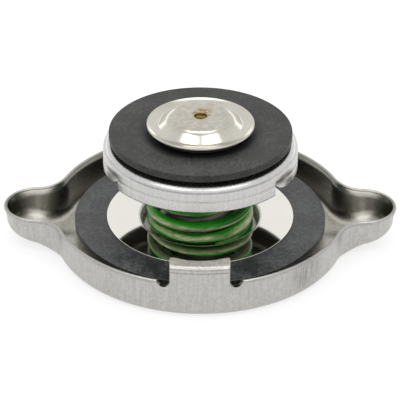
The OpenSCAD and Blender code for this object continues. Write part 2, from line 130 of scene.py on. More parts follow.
def makePiece(name, body, node, finish, grids, flags=None):
    # every grid's quads, turned outwards, as one mesh with the lengths along the grid as UV in mm
    # and the flags, one value a point, as attributes for the finish
    points, faces, places = [], [], []
    first = 0
    for grid in grids:
        rows, columns = grid.shape[:2]
        corner = np.arange(rows - 1)[:, None] * columns + np.arange(columns - 1)[None]
        quads = np.stack([corner, corner + columns, corner + columns + 1, corner + 1], -1).reshape(-1, 4)
        flat = grid.reshape(-1, 3)
        if enclosed(flat, quads) < 0:
            quads = quads[:, ::-1]
        u, v = np.meshgrid(lengths(grid, 0), lengths(grid, 1), indexing="ij")
        points.append(flat)
        places.append(np.stack([u, v], -1).reshape(-1, 2))
        faces.append(quads + first)
        first += len(flat)
    points = np.concatenate(points) * mm
    faces = np.concatenate(faces)
    places = np.concatenate(places)
    mesh = bpy.data.meshes.new(name)
    mesh.from_pydata(points, [], faces.tolist())
    mesh.uv_layers.new(name="surface").data.foreach_set("uv", places[faces.ravel()].ravel())
    for label, values in (flags or {}).items():
        flag = mesh.attributes.new(label, "FLOAT", "POINT")
        flag.data.foreach_set("value", values.ravel().astype(np.float32))
    bm = bmesh.new()
    bm.from_mesh(mesh)
    bmesh.ops.remove_doubles(bm, verts=bm.verts, dist=1e-7)    # closes seams, poles and pinched ends
    bm.to_mesh(mesh)
    bm.free()
    mesh.shade_smooth()
    mesh.materials.append(finish)
    piece = bpy.data.objects.new(name, mesh)
    bpy.context.scene.collection.objects.link(piece)
    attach(piece, body)
    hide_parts(node)
    print("piece", name, "faces", len(mesh.polygons))
    return piece


def turnedPiece(name, body, node, finish, s, pairs):
    # piece turned about Z from an outline of named corners, each rounded softly
    loop = softLoop(named(s, pairs), s["soft"])
    return makePiece(name, body, node, finish, [turned(loop, s.get("stations", roundStations))])


def bentPiece(name, body, node, finish, s, path):
    # piece turned about Z from a bent sheet
    return makePiece(name, body, node, finish, [turned(sheetLoop(path, s["sheet"], s["lip"]))])


# Finishes

noiseSpan = (0.3, 0.7)    # where nearly all values of a noise lie
# the same span serves the painted patches of light and shade
smudgeAndShadeFade = 0.18    # span of the marks over which a smudge takes hold
black = (0.001, 0.001, 0.001)


def scaled(colour, factor):
    # colour times a factor
    return tuple(v * factor for v in colour)


def newFinish(name, metallic, colour, rough):
    # plain shader with its constants set, for a finish to build on
    material = bpy.data.materials.new(name)
    material.use_nodes = True
    shader = material.node_tree.nodes["Principled BSDF"]
    shader.inputs["Metallic"].default_value = metallic
    shader.inputs["Base Color"].default_value = (*colour, 1)
    shader.inputs["Roughness"].default_value = rough
    return material, material.node_tree, shader


def feed(tree, value, socket):
    # a link from another node, or a number, vector or colour set in place
    if isinstance(value, bpy.types.NodeSocket):
        tree.links.new(value, socket)
    else:
        socket.default_value = (*value, 1) if socket.type == "RGBA" else value


def addNode(tree, kind, inputs, output, **settings):
    # one output of a new shader node that has these inputs and settings
    node = tree.nodes.new("ShaderNode" + kind)
    for name, value in settings.items():
        setattr(node, name, value)
    for name, value in inputs.items():
        feed(tree, value, node.inputs[name])
    return node.outputs[output]


def grain(tree, perMm, detail=3.0, rough=0.6, source="Object", distortion=0.0):
    # noise with perMm waves to the millimetre: one number, or one for each way of the piece
    perUnit = 1000 if source == "Object" else 1
    scale = [perUnit * float(v) for v in np.broadcast_to(perMm, 3)]
    place = addNode(tree, "TexCoord", {}, source)
    place = addNode(tree, "Mapping", {"Vector": place, "Scale": scale}, "Vector")
    return addNode(tree, "TexNoise", {"Vector": place, "Scale": 1, "Detail": detail, "Roughness": rough,
                                      "Distortion": distortion}, "Fac")


def spread(tree, value, fromLow, fromHigh, toLow, toHigh):
    # value carried in a straight line from one span to another, and held at the ends
    return addNode(tree, "MapRange", {"Value": value, "From Min": fromLow, "From Max": fromHigh,
                                      "To Min": toLow, "To Max": toHigh}, "Result")


def tint(tree, value, stops):
    # colour on the straight line between the stops on either side of value
    node = tree.nodes.new("ShaderNodeValToRGB")
    ramp = node.color_ramp
    for place, _ in stops[1:-1]:
        ramp.elements.new(place)
    for element, (place, colour) in zip(ramp.elements, stops):
        element.position = place
        element.color = (*colour, 1)
    tree.links.new(value, node.inputs["Fac"])
    return node.outputs["Color"]


def blendColour(tree, share, low, high, mode="MIX"):
    # low (1 - share) + high share, or high laid on low by another mode, by the node's colour sockets
    return addNode(tree, "Mix", {0: share, 6: low, 7: high}, 2, data_type="RGBA", blend_type=mode)


def blendValue(tree, share, low, high):
    # low (1 - share) + high share, by the node's number sockets
    return addNode(tree, "Mix", {0: share, 2: low, 3: high}, 0)


def combine(tree, kind, a, b):
    # one step of arithmetic on a and b
    return addNode(tree, "Math", {0: a, 1: b}, "Value", operation=kind)


def weighted(tree, a, aShare, b, bShare):
    # aShare a + bShare b
    return combine(tree, "ADD", combine(tree, "MULTIPLY", a, aShare), combine(tree, "MULTIPLY", b, bShare))


def attribute(tree, name):
    # the number that the piece's points carry under a name, and 0 where they carry none
    return addNode(tree, "Attribute", {}, "Fac", attribute_name=name)


def nearTo(tree, patch):
    # 1 close to a patch's place in millimetres, falling to 0 at a distance of its size; its core is the
    # share of that distance where the fall begins
    here = addNode(tree, "TexCoord", {}, "Object")
    place = [v * mm for v in patch["place"]]
    away = addNode(tree, "VectorMath", {0: here, 1: place}, "Value", operation="DISTANCE")
    return spread(tree, away, patch["core"] * patch["size"] * mm, patch["size"] * mm, 1, 0)


def dress(tree, shader, tone, rough, height, depth):
    # colour, roughness and a bump of depth millimetres from the low to the high end of height
    normal = addNode(tree, "Bump", {"Strength": 1, "Distance": depth * mm, "Height": height}, "Normal")
    for value, name in ((tone, "Base Color"), (rough, "Roughness"), (normal, "Normal")):
        tree.links.new(value, shader.inputs[name])


def satinSteel(look, smudgesAndShade=(), innerLightAndShade=()):
    # drawn sheet: fine upright marks outside; inside, a darker cloudy tone that is painted shade, and a
    # polish of its own; a mottled matt tone where the point attribute for wear and shade says, which is
    # worn metal on the cover and painted shade in the cup's recesses; and smudges and painted light and
    # shade round some places
    material, tree, shader = newFinish(look["name"], 1.0, look["colour"], look["rough"])
    marks = grain(tree, (2.2, 2.2, 0.12), 4)
    clouds = grain(tree, (0.12, 0.12, 0.2), 3)
    pits = grain(tree, 6, 2)
    mottle = grain(tree, 1.6, 4, 0.75)
    stripes = weighted(tree, marks, 0.4, mottle, 0.6)

    def shades(value, colour, low, high):
        # the colour, and a duller one where value is low
        return tint(tree, value, [(low, scaled(colour, look["dull"])), (high, colour)])

    def smudgedAndShaded(tone, patches):
        # tone under smudges and painted patches of light and shade, each as strong as its nearness
        # times the marks that it clings to
        for patch in patches:
            held = spread(tree, marks, patch["from"], patch["from"] + smudgeAndShadeFade, 0, patch["share"])
            share = combine(tree, "MULTIPLY", nearTo(tree, patch), held)
            tone = blendColour(tree, share, tone, patch["colour"])
        return tone

    inner = attribute(tree, "inner")
    wearAndShade = attribute(tree, "wearAndShade")
    # outside: smudges and painted shade round some places
    outer = smudgedAndShaded(shades(stripes, look["colour"], 0.38, 0.62), smudgesAndShade)
    # inside: a darker colour as painted shade, under painted patches of light and shade
    within = smudgedAndShaded(shades(clouds, look["shadedInsideColour"], *noiseSpan), innerLightAndShade)
    sheet = blendColour(tree, inner, outer, within)
    # matt by the wear and shade attribute: worn metal on the cover, painted shade in the cup's recesses
    tone = blendColour(tree, wearAndShade, sheet, shades(mottle, look["wornAndShadeColour"], 0.4, 0.6))
    outside = spread(tree, pits, *noiseSpan, look["rough"] - 0.05, look["rough"] + 0.07)
    inside = spread(tree, clouds, *noiseSpan, look["innerRough"] - 0.03, look["innerRough"] + 0.05)
    matt = spread(tree, mottle, *noiseSpan, look["wornRough"] - 0.1, look["wornRough"] + 0.1)
    rough = blendValue(tree, wearAndShade, blendValue(tree, inner, outside, inside), matt)
    height = combine(tree, "ADD", marks, combine(tree, "MULTIPLY", pits, 0.4))
    dress(tree, shader, tone, rough, height, look["relief"])
    return material


def brightSteel(look, stains=()):
    # polished sheet: faint marks, soft patches of haze, duller where the attribute haze says, and ragged
    # stains round some places
    material, tree, shader = newFinish(look["name"], 1.0, look["colour"], look["rough"])
    clouds = grain(tree, 0.25, 4)
    marks = grain(tree, look["marks"], 3)
    tone = tint(tree, clouds, [(0.3, scaled(look["colour"], look["dull"])), (0.65, look["colour"])])
    for stain in stains:
        ragged = spread(tree, grain(tree, 0.9, 5, 0.7), 0.36, 0.56, 0, 1)
        share = combine(tree, "MULTIPLY", nearTo(tree, stain), ragged)
        tone = blendColour(tree, share, tone, stain["colour"])
    polish = spread(tree, clouds, *noiseSpan, look["rough"] * 0.75, look["rough"] * 1.35)
    hazy = spread(tree, clouds, *noiseSpan, look["hazeRough"] * 0.9, look["hazeRough"] * 1.1)
    rough = blendValue(tree, attribute(tree, "haze"), polish, hazy)
    dress(tree, shader, tone, rough, marks, look["relief"])
    return material


def rubber(look, blackened):
    # moulded rubber: cloudy grey with grit and light specks, a grainy skin, and black round one given place
    material, tree, shader = newFinish(look["name"], 0.0, look["colour"], look["rough"])
    clouds = grain(tree, 0.16, 5)
    grit = grain(tree, 1.5, 4, 0.75)
    specks = grain(tree, 2.6, 2, 0.7)
    pale = scaled(look["colour"], look["contrast"])
    dark = scaled(look["colour"], 1 / look["contrast"])
    mixed = weighted(tree, clouds, 0.4, grit, 0.6)
    tone = tint(tree, mixed, [(0.42, dark), (0.5, look["colour"]), (0.58, pale)])
    dust = spread(tree, specks, look["speckFrom"], look["speckFrom"] + 0.05, 0, look["speck"])
    tone = blendColour(tree, dust, tone, look["speckColour"])
    # on the seal this black is painted shade under the vacuum disc's brim; on the gasket it lies round the
    # bore
    tone = blendColour(tree, nearTo(tree, blackened), tone, blackened["colour"])
    shader.inputs["Specular IOR Level"].default_value = look["specular"]
    rough = spread(tree, mixed, 0.4, 0.6, look["rough"] - 0.1, look["rough"] + 0.1)
    dress(tree, shader, tone, rough, grit, look["relief"])
    return material


def wornPaint(look):
    # green paint that has come off in stretches of a band along the wire, over tan steel: bare where
    # cos(b - lift + drift u) plus patchy noise passes a limit, with b the angle round the wire and u the
    # way along it; darker where sin b is low, on the underside, as painted shade
    material, tree, shader = newFinish(look["name"], 0.0, look["paint"], look["rough"])
    shader.inputs["Specular IOR Level"].default_value = look["specular"]
    uv = addNode(tree, "TexCoord", {}, "UV")
    along, across = (addNode(tree, "SeparateXYZ", {"Vector": uv}, way) for way in "XY")
    angle = combine(tree, "MULTIPLY", across, 2 * math.pi / look["girth"])
    under = combine(tree, "SINE", angle, 0.0)
    drift = combine(tree, "MULTIPLY", along, math.radians(look["drift"]))
    angle = combine(tree, "SUBTRACT", combine(tree, "ADD", angle, drift), math.radians(look["lift"]))
    band = combine(tree, "COSINE", angle, 0.0)
    patches = grain(tree, (0.05, 0.2, 0), 4, 0.6, "UV")
    fine = grain(tree, (0.5, 2.5, 0), 3, 0.6, "UV")
    worn = combine(tree, "ADD", band, weighted(tree, patches, look["patchy"], fine, look["ragged"]))
    bare = spread(tree, worn, look["wornFrom"], look["wornFrom"] + look["fade"], 0, 1)
    green = tint(tree, patches, [(0.35, look["shade"]), (0.6, look["paint"])])
    steel = tint(tree, fine, [(0.3, look["brown"]), (0.65, look["tan"])])
    # painted shade: darker towards the underside of the wire
    paintedUnderShade = spread(tree, under, *look["underSpan"], look["underShadeTone"], 1)
    tone = blendColour(tree, 1.0, blendColour(tree, bare, green, steel), paintedUnderShade, "MULTIPLY")
    rough = spread(tree, fine, *noiseSpan, look["rough"] - 0.1, look["rough"] + 0.07)
    skin = combine(tree, "SUBTRACT", combine(tree, "MULTIPLY", fine, 0.3), bare)
    dress(tree, shader, tone, rough, skin, look["relief"])
    return material


def stainedBrass(look):
    # brass with brown stains
    material, tree, shader = newFinish(look["name"], look["metallic"], look["colour"], look["rough"])
    stain = grain(tree, 1.1, 4, distortion=0.4)
    tone = tint(tree, stain, [(0.35, look["stain"]), (0.6, look["colour"])])
    rough = spread(tree, stain, *noiseSpan, look["rough"] + 0.2, look["rough"] - 0.1)
    dress(tree, shader, tone, rough, stain, look["relief"])
    return material


def earLightAndShade(side):
    # inside an ear: painted shade as a dark patch at its end, and painted light as a paler, warmer
    # patch on its far flank
    return [{"place": (side * 38.2, 0.0, 6.0), "size": 5.4, "core": 0.5, "from": 0.0, "share": 0.88,
             "colour": (0.05, 0.052, 0.034)},
            {"place": (side * 31.8, 5.3, 4.6), "size": 3.4, "core": 0.4, "from": 0.0, "share": 0.6,
             "colour": (0.62, 0.6, 0.47)}]


def notchShade(side):
    # painted shade in the notch on one side of the front tab
    return {"place": (side * 7.05, -28.8, 7.75), "size": 1.12, "core": 0.93, "from": 0.0, "share": 1.0,
            "colour": (0.02, 0.02, 0.018)}


wallSmudge = {"place": (21.0, -21.0, 5.5), "size": 5.5, "core": 0.3, "from": 0.42, "share": 0.8,
              "colour": (0.22, 0.22, 0.2)}
# the cover's inner colour is darker than its outer one as painted shade inside the cover
coverSteel = satinSteel({"name": "coverSteel", "colour": (0.54, 0.53, 0.505), "dull": 0.75, "rough": 0.3,
                         "shadedInsideColour": (0.36, 0.355, 0.318), "innerRough": 0.26, "relief": 0.008,
                         "wornAndShadeColour": (0.75, 0.725, 0.655), "wornRough": 0.5},
                        [wallSmudge, notchShade(-1), notchShade(1)], earLightAndShade(-1) + earLightAndShade(1))
# the cup's inner colour is painted shade inside it, and its worn colour is painted shade under each tab's
# cut
cupSteel = satinSteel({"name": "cupSteel", "colour": (0.62, 0.615, 0.6), "dull": 0.84, "rough": 0.27,
                       "shadedInsideColour": (0.2, 0.19, 0.17), "innerRough": 0.4, "relief": 0.005,
                       "wornAndShadeColour": (0.13, 0.128, 0.12), "wornRough": 0.5})
plateSteel = brightSteel({"name": "plateSteel", "colour": (0.82, 0.8, 0.75), "dull": 0.97, "rough": 0.05,
                          "hazeRough": 0.4, "marks": 0.6, "relief": 0.001})
discTarnish = {"place": (0, 0, 28.4), "size": 8.0, "core": 0.7, "colour": (0.48, 0.45, 0.385)}
holeStain = {"place": (0.3, 1.2, 28.4), "size": 2.3, "core": 0.6, "colour": (0.3, 0.2, 0.06)}
discSteel = brightSteel({"name": "discSteel", "colour": (0.6, 0.58, 0.52), "dull": 0.93, "rough": 0.16,
                         "hazeRough": 0.3, "marks": 3, "relief": 0.003}, [discTarnish, holeStain])
darkSteel = brightSteel({"name": "darkSteel", "colour": (0.32, 0.31, 0.29), "dull": 0.7, "rough": 0.35,
                         "hazeRough": 0.35, "marks": (3, 3, 0.3), "relief": 0.004})
diaphragmSteel = brightSteel({"name": "diaphragmSteel", "colour": (0.4, 0.35, 0.24), "dull": 0.6,
                              "rough": 0.3, "hazeRough": 0.3, "marks": 2, "relief": 0.004})
gasketRubber = rubber({"name": "gasketRubber", "colour": (0.033, 0.034, 0.035), "contrast": 2.3,
                       "rough": 0.4, "specular": 0.52, "relief": 0.02,
                       "speckFrom": 0.66, "speck": 0.6, "speckColour": (0.25, 0.25, 0.25)},
                      {"place": (0, 0, 5.5), "size": 13.0, "core": 0.88, "colour": black})
# black round the vacuum disc: painted shade under the disc's brim
sealRubber = rubber({"name": "sealRubber", "colour": (0.022, 0.022, 0.02), "contrast": 2.4, "rough": 0.55,
                     "specular": 0.43, "relief": 0.035,
                     "speckFrom": 0.66, "speck": 0.6, "speckColour": (0.2, 0.2, 0.19)},
                    {"place": (0, 0, 25.3), "size": 12.7, "core": 0.88, "colour": black})
springPaint = wornPaint({"name": "springPaint", "paint": (0.022, 0.5, 0.014), "shade": (0.01, 0.12, 0.004),
                         "tan": (0.7, 0.7, 0.45), "brown": (0.3, 0.34, 0.15), "specular": 0.3, "girth": 6.6,
                         "lift": 80.0, "drift": 0.81, "patchy": 2.4, "ragged": 0.25, "wornFrom": 2.02,
                         "fade": 0.35, "underSpan": (-0.7, 0.1), "underShadeTone": 0.3, "rough": 0.35,
                         "relief": 0.02})
stemBrass = stainedBrass({"name": "stemBrass", "colour": (0.3, 0.19, 0.03), "stain": (0.03, 0.017, 0.004),
                          "metallic": 0.8, "rough": 0.4, "relief": 0.03})
print("finishes made")


# Cover shell

cover = {"rim": 60.6, "height": 8.2, "sheet": 0.8, "corner": 2.1, "lean": 0.2, "flare": 0.35,
         "flareHeight": 1.2, "hole": 2.55,
         "panel": 41.0, "panelSink": 0.7, "panelBorder": 2.0, "panelSoft": 0.35,
         "earSpan": 80.2, "earWidth": 13.7, "earBlend": 5.8, "earRise": 2.6, "earCorner": 3.1,
         "earDrop": 0.2,
         "bowlRound": 2.9, "bowlLean": 13.0, "bowlLip": 0.4, "bowlLipHeight": 1.1, "bowlWear": 0.42,
         "floorWear": 0.9,
         "tabWidth": 11.7, "tabRise": 3.2, "tabReach": 3.15, "tabHollow": 11.5, "tabBend": 1.0,
         "tabRound": 1.0, "crease": 0.11, "creaseWidth": 0.25, "edge": 0.15,
         "notchWidth": 2.5, "notchDepth": 1.4, "notchRound": 1.2, "notchTurn": 65.0, "notchSoft": 0.25,
         "stations": {"ear": 56, "blend": 18, "wall": 50, "notch": 64, "tab": 26}}


def rimLevel(s, x):
    # height of the cut rim at x: level under a tab and its root, an arc and a straight flank up to the rim,
    # and the lower of flank f and rim h rounded off as min - (k - |f - h|)^2 / 4k within a distance k
    r = s["notchRound"]
    level = s["height"] - s["notchDepth"] + r
    turn = math.radians(s["notchTurn"])
    middle = s["tabWidth"] / 2 + r
    arcEnd = middle + r * math.sin(turn)
    x = np.abs(x)
    bowl = level - np.sqrt(np.maximum(r * r - np.maximum(x - middle, 0) ** 2, 0))
    low = level - r * math.cos(turn)
    flank = low + (s["height"] - low) * (x - arcEnd) / (s["tabWidth"] / 2 + s["notchWidth"] - arcEnd)
    near = np.maximum(s["notchSoft"] - np.abs(flank - s["height"]), 0)
    top = np.minimum(flank, s["height"]) - near ** 2 / (4 * s["notchSoft"])
    return np.where(x < arcEnd, bowl, top)


def coverOutline(s):
    # closed row of arcs that meet smoothly: ear end, hollow blend, wall, blend, and round again; a blend's
    # centre lies its radius away from both the rim and the ear's end; each station has a centre, a radius,
    # a side (1 bulges out, -1 is hollow) and an angle
    rim = s["rim"] / 2
    wallR = rim - s["flare"]
    earR = s["earWidth"] / 2
    earX = s["earSpan"] / 2 - earR
    reach = rim + s["earBlend"]
    blendX = (earX ** 2 + reach ** 2 - (earR + s["earBlend"]) ** 2) / (2 * earX)
    blendY = math.sqrt(reach ** 2 - blendX ** 2)
    a = math.atan2(blendY, blendX)
    b = math.atan2(blendY, blendX - earX)
    half = s["tabWidth"] / 2
    notchEnd = half + s["notchWidth"] + s["notchSoft"]
    n = s["stations"]
    quarter = np.concatenate([np.linspace(a, math.acos(notchEnd / wallR), n["wall"])[:-1],
                              np.arccos(np.linspace(notchEnd, half, n["notch"])[:-1] / wallR),
                              np.arccos(np.linspace(half, 0, n["tab"]) / wallR)])
    wall = np.concatenate([quarter, np.pi - quarter[-2::-1]])
    arcs = [(earX, 0, earR, 1, np.linspace(-b, b, n["ear"])),
            (blendX, blendY, s["earBlend"], -1, np.linspace(np.pi + b, np.pi + a, n["blend"])),
            (0, 0, rim, 1, wall),
            (-blendX, blendY, s["earBlend"], -1, np.linspace(-a, -b, n["blend"])),
            (-earX, 0, earR, 1, np.linspace(np.pi - b, np.pi + b, n["ear"])),
            (-blendX, -blendY, s["earBlend"], -1, np.linspace(b, a, n["blend"])),
            (0, 0, rim, 1, np.pi + wall),
            (blendX, -blendY, s["earBlend"], -1, np.linspace(np.pi - a, np.pi - b, n["blend"]))]
    rows = [np.stack([*np.full((len(t), 4), fixed, float).T, t])[:, :-1] for *fixed, t in arcs]
    outline = np.concatenate(rows, 1)
    return np.concatenate([outline, outline[:, :1]], 1)


def coverGrid(s):
    # rows over the stations of the outline: outer panel, floor, corner, wall and rim, and the same way back
    # inside; with it come the flags for the inner side and for wear
    cx, cy, radius, side, angle = coverOutline(s)
    rim = s["rim"] / 2
    t = s["sheet"]
    earX = s["earSpan"] / 2 - s["earWidth"] / 2
    earFrom = np.abs(cx + radius * np.cos(angle))[(side > 0) & (radius == rim)].max()
    rampFrom = rim - s["flare"] - s["lean"] - s["corner"]
    rampTo = s["earSpan"] / 2

    def at(inset):
        # stations moved inwards from the outline
        reach = radius - side * inset
        return cx + reach * np.cos(angle), cy + reach * np.sin(angle)

    def floorRise(x):
        # the floor climbs smoothly from the wall's foot to an ear's end
        return s["earRise"] * smoothStep((np.abs(x) - rampFrom) / (rampTo - rampFrom))

    share = smoothStep((np.abs(at(0)[0]) - earFrom) / (earX - earFrom))
    corner = s["corner"] + (s["earCorner"] - s["corner"]) * share
    top = s["height"] - s["earDrop"] * share
    foot = s["flare"] + s["lean"]
    footX, footY = at(foot + corner)
    lift = floorRise(footX)
    wallX = at(s["flare"])[0]
    cut = np.minimum(top, rimLevel(s, wallX))
    rootX = s["tabWidth"] / 2 + s["notchRound"]
    clear = smoothStep((np.abs(wallX) - rootX) / s["notchWidth"])    # 0 under a tab
    edgeLip = 0.01 + (t / 2 - 0.01) * clear
    flareZ = top - s["flareHeight"]
    base = lift + corner
    high = cut - edgeLip

    def wallInset(z):
        # the wall leans in towards its foot and flares out as s^2 near the rim
        flared = s["flare"] * (1 - clear * ((z - flareZ) / (s["flareHeight"] - t / 2)) ** 2)
        return np.where(z > flareZ, flared, s["flare"] + s["lean"] * (flareZ - z) / (flareZ - base))

    def wallRows(inset, z):
        # points over the stations at an inset and a height
        return np.stack([*at(inset), z + 0 * inset], -1)

    # rows of the wall, closer together towards the rim, where it flares and is cut
    rise = np.concatenate([np.linspace(0, 0.55, 5), np.linspace(0.6, 0.99, 15), [0.997, 1]])[:, None]
    wallZ = base + (high - base) * rise
    bend = np.radians(np.linspace(270, 180, 14))[:, None]
    outCorner = wallRows(foot + corner + corner * np.cos(bend), base + corner * np.sin(bend))[:-1]
    outWall = wallRows(wallInset(wallZ), wallZ)
    over = np.radians(np.linspace(180, 0, 11))[1:-1, None]
    crown = wallRows(wallInset(high) + t / 2 + t / 2 * np.cos(over), high + edgeLip * np.sin(over))

    # the inside follows the wall and turns into a bowl with leaning sides and a flared lip in the ears
    lean = math.radians(s["bowlLean"])
    bowlR = s["bowlRound"]
    flank = np.minimum(np.abs(at(0)[1]) / (s["earWidth"] / 2), 1)    # 0 at an ear's end
    lip = s["bowlLip"] * flank
    lipInset = wallInset(high) + t + lip
    inFoot = foot + corner
    for _ in range(3):    # a bowl's depth and its foot depend on each other, and three rounds settle them
        bowlZ = floorRise(at(inFoot)[0]) + t + bowlR
        bowlInset = lipInset + (high - bowlZ) * math.tan(lean) + bowlR / math.cos(lean)
        inFoot = foot + corner + (bowlInset - foot - corner) * share
    inLift = floorRise(at(inFoot)[0])
    bowlBend = np.radians(np.linspace(270, 180 + s["bowlLean"], 14))[:, None]
    bowlFrom = bowlZ - bowlR * math.sin(lean)
    bowlRise = bowlFrom + (high - bowlFrom) * rise
    plainInset = np.concatenate([foot + corner + (corner - t) * np.cos(bend), wallInset(wallZ) + t])
    plainZ = np.concatenate([inLift + corner + (corner - t) * np.sin(bend), wallZ])
    flared = lip * np.clip(1 - (high - bowlRise) / s["bowlLipHeight"], 0, 1) ** 2
    roundInset = np.concatenate([bowlInset + bowlR * np.cos(bowlBend),
                                 lipInset + (high - bowlRise) * math.tan(lean) - flared])
    roundZ = np.concatenate([bowlZ + bowlR * np.sin(bowlBend), bowlRise])
    inSide = wallRows(plainInset + (roundInset - plainInset) * share,
                      plainZ + (roundZ - plainZ) * share)[::-1]

    floorR = s["panel"] / 2 + s["panelBorder"]
    away = np.hypot(footX, footY)

    def floorRows(edgeX, edgeY, z):
        # straight lines from the panel's border to the floor's edge
        q = np.linspace(0, 1, 16)[:-1, None]
        x = floorR * footX / away * (1 - q) + edgeX * q
        y = floorR * footY / away * (1 - q) + edgeY * q
        return np.stack([x, y, z + floorRise(x)], -1)

    outFloor = floorRows(footX, footY, 0)
    inFloor = floorRows(*at(inFoot), t)[::-1]

    def panelRows(corners):
        # the outline's two middle corners, softened and carried round
        loop = softLoop(corners, s["panelSoft"])
        each = len(loop) // len(corners)
        loop = loop[each:-each]
        reach = loop[:, :1] / away
        return np.stack([footX * reach, footY * reach, loop[:, 1:] + 0 * reach], -1)

    edge = s["panel"] / 2
    sink = s["panelSink"]
    low = [(s["hole"], sink), (edge - sink, sink), (edge, 0), (floorR, 0)]
    upper = [(floorR, t), (edge + sink, t), (edge, t + sink), (s["hole"], t + sink)]
    holeLow = np.stack([footX / away * s["hole"], footY / away * s["hole"], 0 * away + sink], -1)[None]
    holeHigh = holeLow + [0, 0, t]
    outside = [holeLow, panelRows(low), outFloor, outCorner, outWall]
    floor = [inFloor, panelRows(upper), holeHigh]
    grid = np.concatenate([*outside, crown, inSide, *floor, holeLow])
    outCount = sum(len(rows) for rows in outside)
    inCount = len(grid) - outCount - len(crown)
    inner = np.concatenate([np.zeros(outCount), np.linspace(0, 1, len(crown)), np.ones(inCount)])
    wallPart = len(inSide) - len(bend)
    wearAndShade = np.concatenate([np.zeros(outCount + len(crown) + wallPart), np.linspace(0, 1, len(bend)),
                           np.ones(inCount - len(inSide))]) * s["floorWear"]
    wearAndShade = np.maximum(wearAndShade[:, None] * (1 - share * (1 - flank)),
                      s["bowlWear"] * inner[:, None] * share * flank)
    return grid, np.repeat(inner, grid.shape[1]), wearAndShade


def tabGrid(s, way):
    # strip bent inwards: a path in radius and height with a half thickness to each side, carried across the
    # tab's width, which a fillet widens at the root; the half thickness shrinks round the side edges and is
    # pinched shut at both ends; a crease exp(-(z / width)^2) runs across the outer side below the bend
    wallR = s["rim"] / 2 - s["flare"]
    t = s["sheet"]
    half = s["tabWidth"] / 2
    top = s["height"] + s["tabRise"]
    level = s["height"] - s["notchDepth"]
    e = s["edge"]
    roundPart = np.sin(np.linspace(0, np.pi / 2, 7)) * e + half - e
    right = np.concatenate([np.linspace(0, half - s["tabRound"], 14)[:-1],
                            np.linspace(half - s["tabRound"], half - e, 14)[:-1], roundPart, [half]])
    x = np.concatenate([-right[:0:-1], right])[:, None]
    past = np.maximum(np.abs(x) - (half - e), 0)
    thick = t / 2 - e + np.sqrt(np.maximum(e * e - past ** 2, 0))
    thick[[0, -1]] = 0
    # rows up the strip, closer together in the root's fillet and along the crease
    lift = np.concatenate([[0, 0.004, 0.012, 0.03, 0.055], np.linspace(0.09, 0.8, 9),
                           np.linspace(0.82, 1, 14)[:-1]])
    bend = np.linspace(0, np.pi / 2, 16)
    run = np.linspace(0, 1, 12)[1:]
    mid = s["tabBend"] - t / 2
    pastCorner = np.maximum(np.abs(x) - (half - s["tabRound"]), 0)
    endY = (wallR - s["tabReach"] - s["tabHollow"] + np.sqrt(s["tabHollow"] ** 2 - x ** 2)
            + s["tabRound"] - np.sqrt(np.maximum(s["tabRound"] ** 2 - pastCorner ** 2, 0)))
    end = np.hypot(endY, x) + e
    bendR = wallR - s["tabBend"]
    bendZ = top - s["tabBend"]
    still = 0 * x
    pathR = np.concatenate([still + wallR - t / 2 + 0 * lift, still + bendR + mid * np.cos(bend),
                            bendR + (end - bendR) * run], 1)
    pathZ = np.concatenate([still + level + (bendZ - level) * lift, still + bendZ + mid * np.sin(bend),
                            still + bendZ + mid + 0 * run], 1)
    outR = np.concatenate([1 + 0 * lift, np.cos(bend), 0 * run])
    outZ = np.concatenate([0 * lift, np.sin(bend), 1 + 0 * run])
    phi = np.linspace(np.pi / 2, -np.pi / 2, 9)[1:-1]
    capR = end - e * np.cos(phi)
    capZ = bendZ + mid + thick * np.sin(phi)
    crease = s["crease"] * np.exp(-((pathZ - bendZ) / s["creaseWidth"]) ** 2) * thick / thick.max()
    r = np.concatenate([pathR + thick * outR - crease, capR, (pathR - thick * outR)[:, ::-1]], 1)
    z = np.concatenate([pathZ + thick * outZ, capZ, (pathZ - thick * outZ)[:, ::-1]], 1)
    fillet = s["notchRound"]
    intoFillet = np.clip(level + fillet - z, 0, fillet)
    wide = x * (1 + (fillet - np.sqrt(fillet ** 2 - intoFillet ** 2)) / half)
    y = way * np.sqrt(r ** 2 - wide ** 2)
    grid = np.stack([wide, y, z], -1)
    matt = smoothStep(2 * bend / bend[-1] - 1)
    wearAndShade = np.concatenate([0 * lift, matt, 1 + 0 * run, 1 + 0 * phi, 0 * outR, [0]])
    return np.concatenate([grid, grid[:, :1]], 1), np.tile(wearAndShade, len(x))


shellGrid, shellInner, shellWear = coverGrid(cover)
frontTab, tabWear = tabGrid(cover, -1)
backTab, _ = tabGrid(cover, 1)
makePiece("coverShell", "cover", "cover_shell", coverSteel, [shellGrid, frontTab, backTab],
          {"inner": np.concatenate([shellInner, 0 * tabWear, 0 * tabWear]),
           "wearAndShade": np.concatenate([shellWear.ravel(), tabWear, tabWear])})


# Upper seal and its carrier

washer = {"radius": 10.0, "hole": 2.55, "low": 1.55, "high": 1.85, "soft": 0.08}
turnedPiece("frictionWasher", "seal_carrier", "friction_washer", darkSteel, washer,
            "hole low, radius low, radius high, hole high")

diaphragm = {"hole": 2.55, "low": 2.15, "slopeFrom": 12.9, "slopeWidth": 3.2, "high": 3.9, "radius": 25.0,
             "sheet": 0.3, "lip": 0.05}


def diaphragmPath(s):
    # level, a smooth slope upwards, level
    step = np.linspace(0, 1, 20)
    slope = np.stack([s["slopeFrom"] + s["slopeWidth"] * step,
                      s["low"] + (s["high"] - s["low"]) * smoothStep(step)], 1)
    return np.concatenate([[(s["hole"], s["low"])], slope, [(s["radius"], s["high"])]])


bentPiece("springDiaphragm", "seal_carrier", "spring_diaphragm", diaphragmSteel,
          diaphragm, diaphragmPath(diaphragm))

